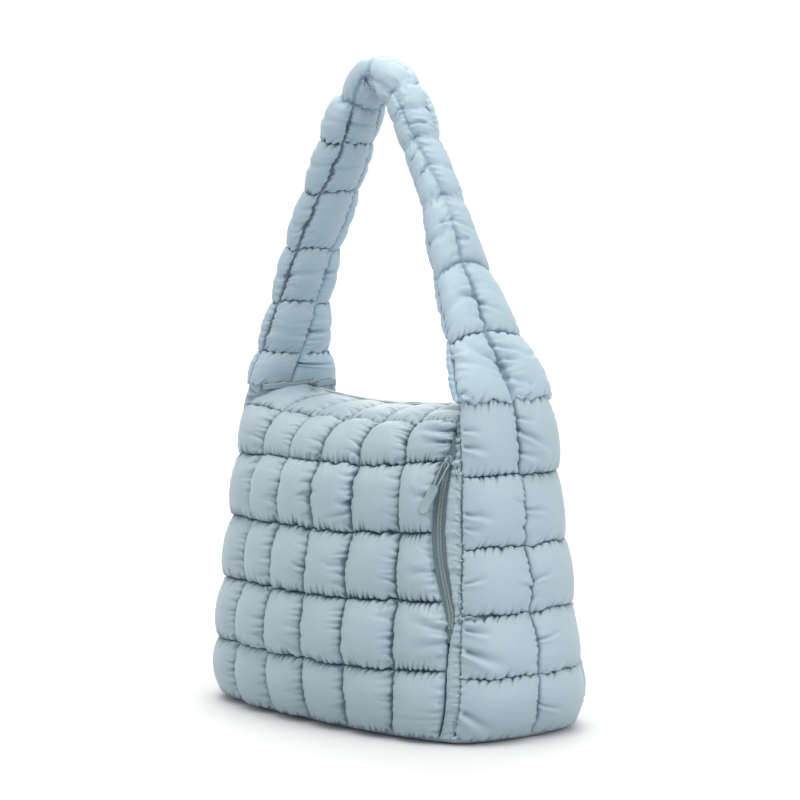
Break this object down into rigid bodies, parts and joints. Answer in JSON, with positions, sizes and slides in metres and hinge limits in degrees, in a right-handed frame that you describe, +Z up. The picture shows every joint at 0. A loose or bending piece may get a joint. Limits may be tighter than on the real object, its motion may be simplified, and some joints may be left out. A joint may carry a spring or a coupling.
{
  "type": "quilted puffer shoulder bag",
  "caption": "Quilted puffer shoulder bag with padded square cells, a tapering padded strap that runs on from the side panels, a zipped top and a zipped front pocket.",
  "frame": {"origin": "centre of the bag's footprint, on the surface it stands on", "axes": "+X to the right of the front, -Y out of the front panel, +Z up"},
  "size_m": [0.4402, 0.2596, 0.6578],
  "materials": {
    "nylon": "satin quilted nylon",
    "nylon_inner": "satin quilted nylon",
    "zip_tape": "woven tape",
    "zip_coil": "moulded coil",
    "slider": "satin paint",
    "pull": "matte moulded"
  },
  "bodies": {
    "root": {"front_panel": "nylon", "back_panel": "nylon", "base_panel": "nylon", "side_panel_right": "nylon", "side_panel_left": "nylon", "strap_outer": "nylon", "strap_inner": "nylon_inner", "strap_base_tape_right": "zip_tape", "strap_base_tape_left": "zip_tape", "corner_strip": "nylon", "pocket_zip_tape": "zip_tape", "pocket_zip_chain": "zip_coil", "pocket_slider": "slider", "pocket_pull_loop": "pull", "pocket_pull_tab": "pull", "top_zip_tape": "zip_tape", "top_zip_chain": "zip_coil", "top_slider": "slider", "top_pull_loop": "pull", "top_pull_tab": "pull"}
  },
  "joints": []
}
